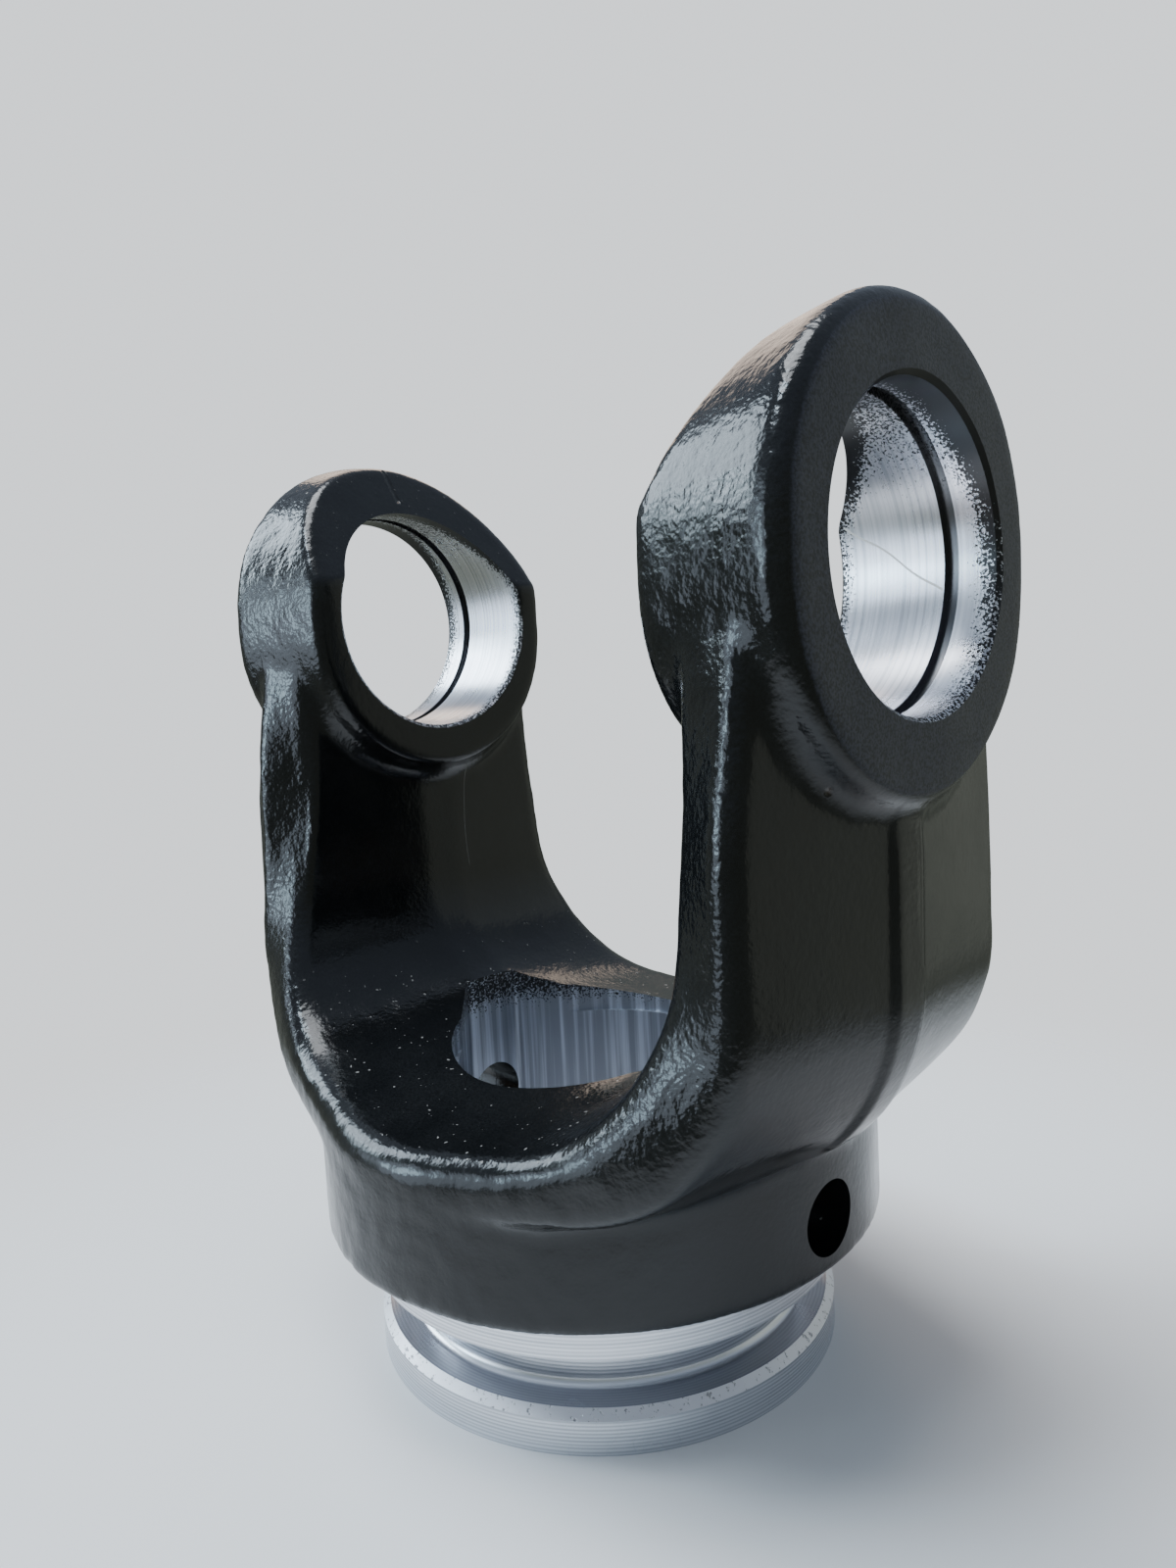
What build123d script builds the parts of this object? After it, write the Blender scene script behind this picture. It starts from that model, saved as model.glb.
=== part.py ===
"""Forged yoke of a driveline joint: one steel forging with machined ear bores, socket and collar.

Origin at the middle of the collar's underside. +Z runs up the hub axis to the ears,
+X runs along the ear bores, and Y = 0 is the plane in which the forging dies part.
All lengths are in millimetres, all angles in degrees.
"""
import os
from math import cos, radians, sin, tan

from build123d import *

# Ears: a slightly conical eye at the end of each arm, proud of the arm on both faces.
# The eye is longer than round, with one round above the bore axis and one below it.
EAR_BORE_DIAMETER = 30.2
EAR_BORE_HEIGHT = 89.0
EAR_EYE_RISE = 1.4
EAR_EYE_DROP = 2.0
EAR_OUTER_REACH = 46.0
EAR_OUTER_STANDOUT = 2.3
EAR_INNER_STANDOUT = 2.5
EAR_OUTER_WALL = 6.8
EAR_INNER_WALL = 3.9
EAR_OUTER_ROUNDING = 2.2
EAR_INNER_ROUNDING = 1.6
EAR_ROOT_ROUNDING = 0.9
EAR_BORE_CHAMFER = 0.5

# Relief that slopes the upper inner face of each ear back, from a line above the bore axis
RELIEF_RISE = 4.5
RELIEF_ANGLE = 33.0
RELIEF_ROUNDING = 1.5

# Ring groove in each ear bore, with a lip of metal between it and the outer face
RING_GROOVE_WIDTH = 1.6
RING_GROOVE_DEPTH = 0.9
RING_GROOVE_LIP = 4.4

# Throat between the arms, on the parting plane
THROAT_FLOOR_HEIGHT = 36.0
THROAT_FLOOR_RADIUS = 110.0
THROAT_CORNER_RADIUS = 17.0
THROAT_RIM_ROUNDING = 3.0

# Arms, on the parting plane: the foot is the web under the throat floor
ARM_THICKNESS = 13.7
FOOT_THICKNESS = 11.0
FOOT_RADIUS = 24.0
ROOT_SLOPE = 12.0
ROOT_RADIUS = 20.0
ARM_OUTER_ROUNDING = 2.0

# Draft of the dies, on both sides of a flat parting land
LAND_HALF_WIDTH = 2.6
DRAFT_ANGLE = 7.0

# Flanks of the arms: the flare above the foot, the waist above the flare, and their half widths
FOOT_TOP_DROP = 1.0
FLARE_RISE = 14.5
WAIST_RISE = 15.5
FLANK_START_REACH = 9.0
FLARE_HALF_WIDTH_HUB = 16.0
WAIST_HALF_WIDTH_HUB = 6.4
FLARE_HALF_WIDTH_OUTER = 24.3
WAIST_HALF_WIDTH_OUTER = 27.2
FLANK_TOP_SETBACK = 0.5

# Collar, upwards from its underside: flange, guard groove and shoulder
FLANGE_THICKNESS = 4.65
FLANGE_LIP = 4.3
FLANGE_CHAMFER = 0.9
GUARD_GROOVE_WIDTH = 6.15
GUARD_GROOVE_DEPTH = 5.0
GUARD_GROOVE_FILLET = 1.0
SHOULDER_LENGTH = 5.4
SHOULDER_STEP = 5.0

# Hub: its top stays under the throat floor, and lower still under the rounded rims
HUB_RADIUS = 34.0
HUB_EDGE_ROUNDING = 0.8
HUB_TOP_DROP = 4.5
HUB_RIM_DROP = 7.6
HUB_RIM_HALF_WIDTH = 15.0

# Socket for the profiled tube: a round hole with two opposite noses, wider near the throat floor
SOCKET_WALL = 3.2
SOCKET_NOSE_RISE = 3.4
SOCKET_NOSE_HALF_WIDTH = 4.2
SOCKET_NOSE_ROUNDING = 1.2
SOCKET_LEAD_STEP = 0.6
SOCKET_LEAD_DEPTH = 3.7

# Cross pin hole, just above the hub's lower edge
PIN_HOLE_DIAMETER = 8.0
PIN_HOLE_EDGE = 2.0

# Length by which cutters reach past the material
PAST = 10.0

# Ears and arms, out from the middle
bore_radius = EAR_BORE_DIAMETER / 2
groove_radius = bore_radius + RING_GROOVE_DEPTH
chamfer_radius = bore_radius + EAR_BORE_CHAMFER
ear_outer_radius = bore_radius + EAR_OUTER_WALL
ear_inner_radius = bore_radius + EAR_INNER_WALL
arm_outer_reach = EAR_OUTER_REACH - EAR_OUTER_STANDOUT
arm_inner_reach = arm_outer_reach - ARM_THICKNESS
ear_inner_reach = arm_inner_reach - EAR_INNER_STANDOUT
groove_outer_reach = EAR_OUTER_REACH - RING_GROOVE_LIP
groove_inner_reach = groove_outer_reach - RING_GROOVE_WIDTH
eye_height = EAR_BORE_HEIGHT + (EAR_EYE_RISE - EAR_EYE_DROP) / 2
bore_axis = Axis((0, 0, EAR_BORE_HEIGHT), (1, 0, 0))
ear_slope = (ear_outer_radius - ear_inner_radius) / (EAR_OUTER_REACH - ear_inner_reach)
ear_root_rounding = min(EAR_ROOT_ROUNDING, EAR_INNER_STANDOUT - EAR_INNER_ROUNDING)

# Radii of collar and socket, in from the hub
shoulder_radius = HUB_RADIUS - SHOULDER_STEP
neck_radius = shoulder_radius - GUARD_GROOVE_DEPTH
flange_radius = neck_radius + FLANGE_LIP
nose_reach = neck_radius - SOCKET_WALL
socket_radius = nose_reach - SOCKET_NOSE_RISE
lead_radius = socket_radius + SOCKET_LEAD_STEP

# Heights, up from the collar's underside and down from the throat floor
shoulder_bottom_height = FLANGE_THICKNESS + GUARD_GROOVE_WIDTH
hub_bottom_height = shoulder_bottom_height + SHOULDER_LENGTH
pin_hole_height = hub_bottom_height + PIN_HOLE_EDGE + PIN_HOLE_DIAMETER / 2
hub_top_height = THROAT_FLOOR_HEIGHT - HUB_TOP_DROP
hub_rim_height = THROAT_FLOOR_HEIGHT - HUB_RIM_DROP
lead_height = THROAT_FLOOR_HEIGHT - SOCKET_LEAD_DEPTH
foot_top_height = THROAT_FLOOR_HEIGHT - FOOT_TOP_DROP
flare_height = foot_top_height + FLARE_RISE
waist_height = flare_height + WAIST_RISE
relief_height = EAR_BORE_HEIGHT + RELIEF_RISE
throat_top_height = EAR_BORE_HEIGHT + EAR_EYE_RISE + ear_outer_radius + PAST

# Points of the outlines on the parting plane
foot_centre_reach = arm_outer_reach - FOOT_RADIUS
foot_centre_height = THROAT_FLOOR_HEIGHT - FOOT_THICKNESS + FOOT_RADIUS
foot_bend = FOOT_RADIUS * cos(radians(45))
root_reach = foot_centre_reach + FOOT_RADIUS * sin(radians(ROOT_SLOPE))
root_height = foot_centre_height - FOOT_RADIUS * cos(radians(ROOT_SLOPE))
middle_height = root_height - root_reach * tan(radians(ROOT_SLOPE))
floor_rise = THROAT_FLOOR_RADIUS - (THROAT_FLOOR_RADIUS**2 - arm_inner_reach**2) ** 0.5
floor_end_height = THROAT_FLOOR_HEIGHT + floor_rise
relief_reach = ear_inner_reach + (throat_top_height - relief_height) * tan(radians(RELIEF_ANGLE))
draw_length = HUB_RADIUS + PAST

# Half widths of the flanks: tangent to the hub at the foot, just inside the ear's cone at the top
foot_half_width_hub = (HUB_RADIUS**2 - FLANK_START_REACH**2) ** 0.5
foot_slope = FLANK_START_REACH / foot_half_width_hub
foot_half_width_outer = foot_half_width_hub - foot_slope * (EAR_OUTER_REACH - FLANK_START_REACH)
top_half_width_outer = ear_outer_radius - FLANK_TOP_SETBACK
top_half_width_hub = top_half_width_outer - ear_slope * (EAR_OUTER_REACH - FLANK_START_REACH)

# Outer outline of the arms on the parting plane: a round foot on each side and straight arms
with BuildSketch() as arm_outline:
    with BuildLine():
        Line((0, middle_height), (root_reach, root_height))
        ThreePointArc(
            (root_reach, root_height),
            (foot_centre_reach + foot_bend, foot_centre_height - foot_bend),
            (arm_outer_reach, foot_centre_height),
        )
        Polyline(
            (arm_outer_reach, foot_centre_height),
            (arm_outer_reach, EAR_BORE_HEIGHT),
            (0, EAR_BORE_HEIGHT),
        )
        mirror(about=Plane.YZ)
    make_face()
    fillet(arm_outline.vertices().sort_by(Axis.Y)[0], ROOT_RADIUS)

# Outline of the throat on the parting plane: a dished floor with large corners, open at the top
with BuildSketch() as throat_outline:
    with BuildLine():
        ThreePointArc(
            (-arm_inner_reach, floor_end_height),
            (0, THROAT_FLOOR_HEIGHT),
            (arm_inner_reach, floor_end_height),
        )
        Polyline(
            (arm_inner_reach, floor_end_height),
            (arm_inner_reach, throat_top_height),
            (-arm_inner_reach, throat_top_height),
            (-arm_inner_reach, floor_end_height),
        )
    make_face()
    fillet(throat_outline.vertices().group_by(Axis.Y)[0], THROAT_CORNER_RADIUS)

# Die block: the arm outline drawn out to both sides, a flat land and then draft
with BuildPart() as die_block:
    with BuildSketch(Plane.XZ.offset(-LAND_HALF_WIDTH)):
        add(arm_outline.sketch)
    extrude(amount=2 * LAND_HALF_WIDTH)
    with BuildSketch(Plane.XZ.offset(LAND_HALF_WIDTH)):
        add(arm_outline.sketch)
    extrude(amount=draw_length, taper=DRAFT_ANGLE)
    mirror(about=Plane.XZ)

# Throat block: the throat outline drawn out to both sides, opening with the draft
with BuildPart() as throat_block:
    with BuildSketch(Plane.XZ.offset(-LAND_HALF_WIDTH)):
        add(throat_outline.sketch)
    extrude(amount=2 * LAND_HALF_WIDTH)
    with BuildSketch(Plane.XZ.offset(LAND_HALF_WIDTH)):
        add(throat_outline.sketch)
    extrude(amount=draw_length, taper=-DRAFT_ANGLE)
    mirror(about=Plane.XZ)

# Side view of the flanks near the hub
with BuildSketch() as hub_side_view:
    with BuildLine():
        Spline(
            (foot_half_width_hub, foot_top_height),
            (FLARE_HALF_WIDTH_HUB, flare_height),
            (WAIST_HALF_WIDTH_HUB, waist_height),
            (top_half_width_hub, EAR_BORE_HEIGHT),
            tangents=((0, 1), (0, 1)),
        )
        Line((foot_half_width_hub, foot_top_height), (0, foot_top_height))
        Line((top_half_width_hub, EAR_BORE_HEIGHT), (0, EAR_BORE_HEIGHT))
        mirror(about=Plane.YZ)
    make_face()

# Side view of the flanks at the ear faces
with BuildSketch() as outer_side_view:
    with BuildLine():
        Spline(
            (foot_half_width_outer, foot_top_height),
            (FLARE_HALF_WIDTH_OUTER, flare_height),
            (WAIST_HALF_WIDTH_OUTER, waist_height),
            (top_half_width_outer, EAR_BORE_HEIGHT),
            tangents=((0, 1), (0, 1)),
        )
        Line((foot_half_width_outer, foot_top_height), (0, foot_top_height))
        Line((top_half_width_outer, EAR_BORE_HEIGHT), (0, EAR_BORE_HEIGHT))
        mirror(about=Plane.YZ)
    make_face()

# Arms: flanks above a foot that runs tangent into the hub, with the throat cut between them
with BuildPart() as arms:
    with BuildSketch(Plane.YZ.offset(FLANK_START_REACH)):
        add(hub_side_view.sketch)
    with BuildSketch(Plane.YZ.offset(EAR_OUTER_REACH)):
        add(outer_side_view.sketch)
    loft(ruled=True)
    mirror(about=Plane.YZ)
    with BuildSketch(Plane.XY.offset(hub_bottom_height)):
        with BuildLine():
            ThreePointArc(
                (-FLANK_START_REACH, foot_half_width_hub),
                (0, HUB_RADIUS),
                (FLANK_START_REACH, foot_half_width_hub),
            )
            Polyline(
                (FLANK_START_REACH, foot_half_width_hub),
                (EAR_OUTER_REACH, foot_half_width_outer),
                (EAR_OUTER_REACH, 0),
            )
            Polyline(
                (-FLANK_START_REACH, foot_half_width_hub),
                (-EAR_OUTER_REACH, foot_half_width_outer),
                (-EAR_OUTER_REACH, 0),
            )
            mirror(about=Plane.XZ)
        make_face()
    extrude(amount=foot_top_height - hub_bottom_height)
    # The web between the two arms, which the throat then dishes
    with Locations((0, 0, hub_bottom_height)):
        Cylinder(
            neck_radius,
            floor_end_height - hub_bottom_height,
            align=(Align.CENTER, Align.CENTER, Align.MIN),
        )
    add(die_block.part, mode=Mode.INTERSECT)
    add(throat_block.part, mode=Mode.SUBTRACT)
    rim_edges = [
        arms.edges().sort_by_distance((0, end * HUB_RADIUS, hub_top_height))[0]
        for end in (1, -1)
    ]
    fillet(rim_edges, THROAT_RIM_ROUNDING)
    outer_corners = [
        (side * arm_outer_reach, end * WAIST_HALF_WIDTH_OUTER, waist_height)
        for side in (1, -1)
        for end in (1, -1)
    ]
    outer_edges = [arms.edges().sort_by_distance(corner)[0] for corner in outer_corners]
    fillet(outer_edges, ARM_OUTER_ROUNDING)

# Hub, shoulder, neck and flange, turned about Z
with BuildPart() as hub:
    with BuildSketch(Plane.XZ):
        with BuildLine():
            Polyline(
                (0, 0),
                (flange_radius, 0),
                (flange_radius, FLANGE_THICKNESS),
                (neck_radius, FLANGE_THICKNESS),
                (neck_radius, shoulder_bottom_height),
                (shoulder_radius, shoulder_bottom_height),
                (shoulder_radius, hub_bottom_height),
                (HUB_RADIUS, hub_bottom_height),
                (HUB_RADIUS, hub_top_height),
                (0, hub_top_height),
                close=True,
            )
        make_face()
    revolve(axis=Axis.Z)
    # At front and back the hub stops lower, where the rounded rim of the throat takes over
    with Locations((0, 0, hub_rim_height)):
        Box(
            2 * HUB_RIM_HALF_WIDTH,
            2 * draw_length,
            PAST,
            align=(Align.CENTER, Align.CENTER, Align.MIN),
            mode=Mode.SUBTRACT,
        )
    flange_rim = hub.edges().sort_by_distance((flange_radius, 0, FLANGE_THICKNESS))[0]
    chamfer(flange_rim, FLANGE_CHAMFER)
    groove_roots = [
        hub.edges().sort_by_distance((neck_radius, 0, height))[0]
        for height in (FLANGE_THICKNESS, shoulder_bottom_height)
    ]
    fillet(groove_roots, GUARD_GROOVE_FILLET)
    hub_foot = hub.edges().sort_by_distance((HUB_RADIUS, 0, hub_bottom_height))[0]
    fillet(hub_foot, HUB_EDGE_ROUNDING)

# Ears: slightly conical eyes, with the upper inner face sloped back
with BuildPart() as ears:
    for reach, radius in ((ear_inner_reach, ear_inner_radius), (EAR_OUTER_REACH, ear_outer_radius)):
        with BuildSketch(Plane.YZ.offset(reach)):
            with Locations((0, eye_height)):
                SlotCenterToCenter(EAR_EYE_RISE + EAR_EYE_DROP, 2 * radius, rotation=90)
    loft(ruled=True)
    fillet(ears.edges().group_by(Axis.X)[-1], EAR_OUTER_ROUNDING)
    fillet(ears.edges().group_by(Axis.X)[0], EAR_INNER_ROUNDING)
    with BuildSketch(Plane.XZ.offset(-draw_length)):
        with BuildLine():
            Polyline(
                (ear_inner_reach, relief_height),
                (ear_inner_reach - PAST, relief_height),
                (ear_inner_reach - PAST, throat_top_height),
                (relief_reach, throat_top_height),
                close=True,
            )
        make_face()
    extrude(amount=2 * draw_length, mode=Mode.SUBTRACT)
    fillet(ears.edges(Select.NEW), RELIEF_ROUNDING)
    mirror(about=Plane.YZ)

# Cutter for the ear bores, each with its ring groove and a chamfer at both faces
with BuildPart() as bore_cutter:
    with BuildSketch(Plane.XZ):
        with BuildLine():
            Polyline(
                (ear_inner_reach - PAST, EAR_BORE_HEIGHT),
                (ear_inner_reach - PAST, EAR_BORE_HEIGHT + chamfer_radius),
                (ear_inner_reach, EAR_BORE_HEIGHT + chamfer_radius),
                (ear_inner_reach + EAR_BORE_CHAMFER, EAR_BORE_HEIGHT + bore_radius),
                (groove_inner_reach, EAR_BORE_HEIGHT + bore_radius),
                (groove_inner_reach, EAR_BORE_HEIGHT + groove_radius),
                (groove_outer_reach, EAR_BORE_HEIGHT + groove_radius),
                (groove_outer_reach, EAR_BORE_HEIGHT + bore_radius),
                (EAR_OUTER_REACH - EAR_BORE_CHAMFER, EAR_BORE_HEIGHT + bore_radius),
                (EAR_OUTER_REACH, EAR_BORE_HEIGHT + chamfer_radius),
                (EAR_OUTER_REACH + PAST, EAR_BORE_HEIGHT + chamfer_radius),
                (EAR_OUTER_REACH + PAST, EAR_BORE_HEIGHT),
                close=True,
            )
        make_face()
    revolve(axis=bore_axis)
    mirror(about=Plane.YZ)

# Cutter for the tube socket: a round hole drawn out to two flat noses, wider above the step
with BuildPart() as socket_cutter:
    with BuildSketch(Plane.XY.offset(-PAST)) as socket_profile:
        Circle(socket_radius)
        Rectangle(2 * nose_reach, 2 * SOCKET_NOSE_HALF_WIDTH)
        make_hull()
        nose_corners = socket_profile.vertices().filter_by(lambda corner: abs(corner.X) > socket_radius)
        fillet(nose_corners, SOCKET_NOSE_ROUNDING)
    extrude(amount=floor_end_height + 2 * PAST)
    with BuildSketch(Plane.XY.offset(lead_height)):
        Circle(lead_radius)
    extrude(amount=floor_end_height + PAST - lead_height)

# The whole forging, then its machined holes
with BuildPart() as forged_yoke:
    add(hub.part)
    add(arms.part)
    add(ears.part)
    fillet(forged_yoke.edges(Select.NEW), ear_root_rounding)
    add(bore_cutter.part, mode=Mode.SUBTRACT)
    add(socket_cutter.part, mode=Mode.SUBTRACT)
    with BuildSketch(Plane.YZ.offset(-draw_length)):
        with Locations((0, pin_hole_height)):
            Circle(PIN_HOLE_DIAMETER / 2)
    extrude(amount=2 * draw_length, mode=Mode.SUBTRACT)
forged_yoke.part.label = "forged_yoke"

os.makedirs("parts", exist_ok=True)
export_step(forged_yoke.part, "parts/forged_yoke.step")
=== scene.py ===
"""Looks of the forged yoke: a painted forging skin, cut by bare machined bores, socket and collar.

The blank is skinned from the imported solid, given the surface of a forging, and then machined
with the part's own sizes. Lengths named at the top are in millimetres and angles in degrees.
MM turns millimetres into metres, which the materials measure in.
"""

import math

import bmesh
import bpy
import numpy as np
from mathutils import Matrix, Vector, noise


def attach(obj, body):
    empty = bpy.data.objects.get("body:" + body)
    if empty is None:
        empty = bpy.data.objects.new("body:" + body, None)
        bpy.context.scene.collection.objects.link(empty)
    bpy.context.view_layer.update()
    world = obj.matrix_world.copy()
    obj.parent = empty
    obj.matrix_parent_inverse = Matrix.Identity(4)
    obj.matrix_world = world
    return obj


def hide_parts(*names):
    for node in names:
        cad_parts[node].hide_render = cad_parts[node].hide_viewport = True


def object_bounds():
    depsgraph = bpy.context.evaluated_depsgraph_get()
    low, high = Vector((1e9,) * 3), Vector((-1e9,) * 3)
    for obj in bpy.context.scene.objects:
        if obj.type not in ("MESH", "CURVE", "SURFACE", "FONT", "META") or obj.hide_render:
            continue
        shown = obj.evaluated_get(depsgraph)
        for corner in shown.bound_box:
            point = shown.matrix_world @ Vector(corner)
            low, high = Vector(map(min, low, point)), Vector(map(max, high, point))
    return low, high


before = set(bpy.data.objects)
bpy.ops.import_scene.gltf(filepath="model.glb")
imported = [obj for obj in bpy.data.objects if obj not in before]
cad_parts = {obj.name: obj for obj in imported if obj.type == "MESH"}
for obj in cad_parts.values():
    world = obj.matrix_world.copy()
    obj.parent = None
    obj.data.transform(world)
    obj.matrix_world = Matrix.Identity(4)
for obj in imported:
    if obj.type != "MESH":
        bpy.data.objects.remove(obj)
cad_low, cad_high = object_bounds()

MM = 0.001
NODE = "forged_yoke"

# Machined sizes of the part
BORE_RADIUS = 15.1
BORE_HEIGHT = 89.0
BORE_CHAMFER = 0.5
EAR_INNER_REACH = 27.5
EAR_OUTER_REACH = 46.0
RING_GROOVE_INNER = 40.0
RING_GROOVE_OUTER = 41.6
RING_GROOVE_RADIUS = 16.0
SOCKET_RADIUS = 17.4
NOSE_REACH = 20.8
NOSE_HALF_WIDTH = 4.2
NOSE_ROUNDING = 1.2
LEAD_RADIUS = 18.0
LEAD_HEIGHT = 32.3
PIN_RADIUS = 4.0
PIN_HEIGHT = 22.2
FLANGE_RADIUS = 28.3
FLANGE_TOP = 4.65
FLANGE_CHAMFER = 0.9
NECK_RADIUS = 24.0
NECK_FILLET = 1.0
SHOULDER_RADIUS = 29.0
SHOULDER_BOTTOM = 10.8
HUB_BOTTOM = 16.2
HUB_RADIUS = 34.0

# The upper inner face of each ear slopes back above this height, by this run for each rise
RELIEF_HEIGHT = 93.5
RELIEF_SLOPE = 0.65

# Length by which cutters reach past the skin, and steps round each turned form
PAST = 6.0
COLLAR_STEPS = 256
BORE_STEPS = 192
PIN_STEPS = 72

# Skin of the forging: its fineness, the ridge of its parting land and its unevenness
SKIN_VOXEL = 0.58
SHARP_ANGLE = 35.0
LAND_HALF_WIDTH = 2.6
LAND_RISE = 0.4
BROAD_LIFT = 0.12
PEBBLE_LIFT = 0.07
SKIN_SINK = 0.03

# Heights where softening sets in, is full, starts to fade and ends
UNDER_EARS = (58.0, 64.0, 76.0, 84.0)
THROAT_RIM = (33.0, 36.0, 41.0, 46.0)

# Distances from the parting plane between which the softening of the throat's rim sets in
THROAT_RIM_REACH = (18.0, 22.0)

# Passes that even out the skin, blend its inner corners and round the throat's rim
EVEN_PASSES = 2
BLEND_PASSES = 45
RIM_PASSES = 30

# A shallow dent in the near flank of the left arm: its place and spread in X and Z
DENT_PLACE = (-37.0, 61.0)
DENT_SPREAD = (8.0, 9.0)
DENT_DEPTH = 1.0

# Marks on this one piece: heights of trimming marks, seam and scratch, and the place of a nick
TRIMMED_HEIGHTS = (55.0, 65.5)
SEAM_HEIGHTS = (106.2, 110.5)
SCRATCH_HEIGHTS = (53.5, 72.5)
NICK_PLACE = (42.6, -11.9, 68.6)

# A hair in the right bore: its reach in X, its height at the start and its slope
HAIR_REACH = (28.9, 39.7)
HAIR_HEIGHT = 94.2
HAIR_SLOPE = -0.73

# Pitch of the lines that turning left on the collar
FEED_PITCH = 0.4

# Tints of the paint and of what lies on it
PAINT_DARK = (0.003, 0.0035, 0.004)
PAINT_LIGHT = (0.010, 0.011, 0.012)
# Lighter blue-grey of the ears' outer faces: a painted sheen
EAR_FACE_SHEEN_TINT = (0.045, 0.048, 0.070)
DUST_TINT = (0.4, 0.39, 0.37)
SCRATCH_TINT = (0.16, 0.16, 0.15)
NICK_TINT = (0.10, 0.06, 0.035)

# Tints of the bare steel and of what lies on it
STEEL_DARK = (0.46, 0.48, 0.52)
STEEL_LIGHT = (0.56, 0.58, 0.62)
TURNED_TINT = (0.80, 0.82, 0.86)
BROACHED_DARK = (0.22, 0.25, 0.31)
BROACHED_LIGHT = (0.68, 0.73, 0.82)
BORED_TINT = (0.80, 0.80, 0.84)
# Painted dark reflection on the upward faces of the collar
LEDGE_REFLECTION_TINT = (0.26, 0.265, 0.30)
CHAMFER_TINT = (0.84, 0.84, 0.87)
PIT_TINT = (0.16, 0.15, 0.16)
# Painted shade in the ring grooves
GROOVE_SHADE_TINT = (0.03, 0.03, 0.03)
# Stray paint, and painted shade along the top of each bore
STRAY_PAINT_AND_SHADE_TINT = (0.006, 0.006, 0.007)
HAIR_TINT = (0.92, 0.90, 0.86)

# Floor, the distances from the hub's axis between which it fades, and the room
FLOOR_RADIUS = 350.0
FLOOR_FADE = (60.0, 160.0)
FLOOR_DARK = (0.80, 0.80, 0.80)
FLOOR_LIGHT = (0.84, 0.84, 0.84)
ROOM_LOW = (0.20, 0.22, 0.19)
ROOM_HIGH = (0.32, 0.38, 0.48)

# Tone of the backdrop, about that of the lit floor
BACKDROP = (1.2, 1.25, 1.3)

# Camera that was fitted to the photo, with its focal length and the photo's height in pixels
CAMERA_PLACE = (93.45, -89.0, 78.32)
CAMERA_YAW = 46.14
CAMERA_PITCH = -5.32
CAMERA_ROLL = -2.86
FOCAL_PIXELS = 1075.72
PHOTO_HEIGHT = 1600.0
SENSOR_HEIGHT = 36.0


def new_object(name, mesh):
    made = bpy.data.objects.new(name, mesh)
    bpy.context.scene.collection.objects.link(made)
    return made


def mesh_from(name, work):
    bmesh.ops.recalc_face_normals(work, faces=work.faces[:])
    mesh = bpy.data.meshes.new(name)
    work.to_mesh(mesh)
    work.free()
    return mesh


def applied(piece):
    """The mesh of a piece with its modifiers applied."""
    graph = bpy.context.evaluated_depsgraph_get()
    mesh = bpy.data.meshes.new_from_object(piece.evaluated_get(graph))
    piece.modifiers.clear()
    return mesh


def lathe(name, outline, segments, turn=Matrix.Identity(4)):
    """A closed solid turned about Z from (radius, height) points in millimetres, then moved by turn."""
    work = bmesh.new()
    rings = []
    for radius, height in outline:
        ring = []
        for step in range(segments):
            angle = math.tau * step / segments
            spot = (radius * math.cos(angle) * MM, radius * math.sin(angle) * MM, height * MM)
            ring.append(work.verts.new(spot))
        rings.append(ring)
    for lower, upper in zip(rings, rings[1:]):
        for step in range(segments):
            following = (step + 1) % segments
            work.faces.new((lower[step], lower[following], upper[following], upper[step]))
    work.faces.new(rings[0])
    work.faces.new(rings[-1])
    work.transform(turn)
    return new_object(name, mesh_from(name, work))


def prism(name, outline, bottom, top):
    """A closed upright solid from (x, y) points in millimetres."""
    work = bmesh.new()
    lower = [work.verts.new((x * MM, y * MM, bottom * MM)) for x, y in outline]
    upper = [work.verts.new((x * MM, y * MM, top * MM)) for x, y in outline]
    for step in range(len(outline)):
        following = (step + 1) % len(outline)
        work.faces.new((lower[step], lower[following], upper[following], upper[step]))
    work.faces.new(lower)
    work.faces.new(upper)
    return new_object(name, mesh_from(name, work))


def combine(target, tool, operation):
    """Joins a tool to the target or cuts it away, and deletes the tool."""
    change = target.modifiers.new("combine", "BOOLEAN")
    change.operation = operation
    change.solver = "MANIFOLD"
    change.object = tool
    target.data = applied(target)
    bpy.data.objects.remove(tool)


def face_table(mesh):
    """Centres in millimetres and normals of all faces."""
    centres = np.empty(len(mesh.polygons) * 3)
    normals = np.empty(len(mesh.polygons) * 3)
    mesh.polygons.foreach_get("center", centres)
    mesh.polygons.foreach_get("normal", normals)
    return centres.reshape(-1, 3) / MM, normals.reshape(-1, 3)


def inward(centres, normals, first, second, middle=0.0):
    """Distance from an axis, and how far each normal points back at it."""
    across = centres[:, first]
    along = centres[:, second] - middle
    reach = np.hypot(across, along)
    towards = -(normals[:, first] * across + normals[:, second] * along) / np.maximum(reach, 1e-6)
    return reach, towards


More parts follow.
